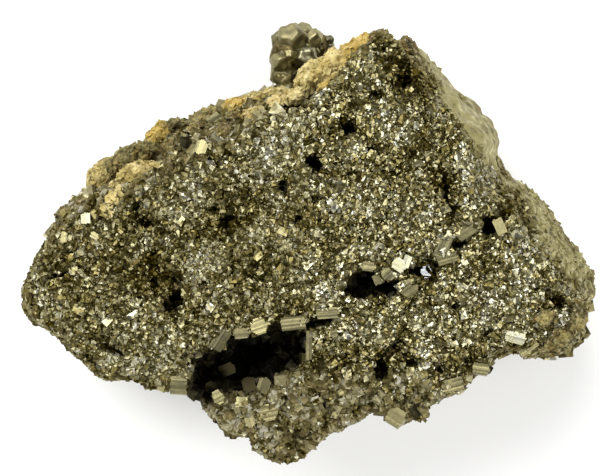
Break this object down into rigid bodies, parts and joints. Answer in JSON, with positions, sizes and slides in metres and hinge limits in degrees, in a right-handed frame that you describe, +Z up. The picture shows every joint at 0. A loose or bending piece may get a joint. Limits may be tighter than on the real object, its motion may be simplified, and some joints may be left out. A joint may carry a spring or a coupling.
{
  "type": "pyrite hand specimen",
  "caption": "Rough stone of massive granular pyrite with a glittering broken face, crystal-lined vugs, a crystal knob and remnants of tan host rock; lies on its flat back.",
  "frame": {"origin": "under the middle of the specimen's box, on the flat face that it rests on", "axes": "+X along its longest side towards the smooth right-hand tip, +Y towards the peak and the knob, +Z up out of the broken face"},
  "size_m": [0.0796, 0.0608, 0.0362],
  "materials": {
    "pyrite": "glittering metallic grains, pale brass to dark bronze",
    "host_rock": "matt limonite-stained crust, cream to ochre"
  },
  "bodies": {
    "root": {"pyrite_mass": "pyrite", "matrix_crest": "host_rock", "matrix_shoulder": "host_rock", "matrix_ridge": "host_rock", "matrix_saddle": "host_rock"}
  },
  "joints": []
}
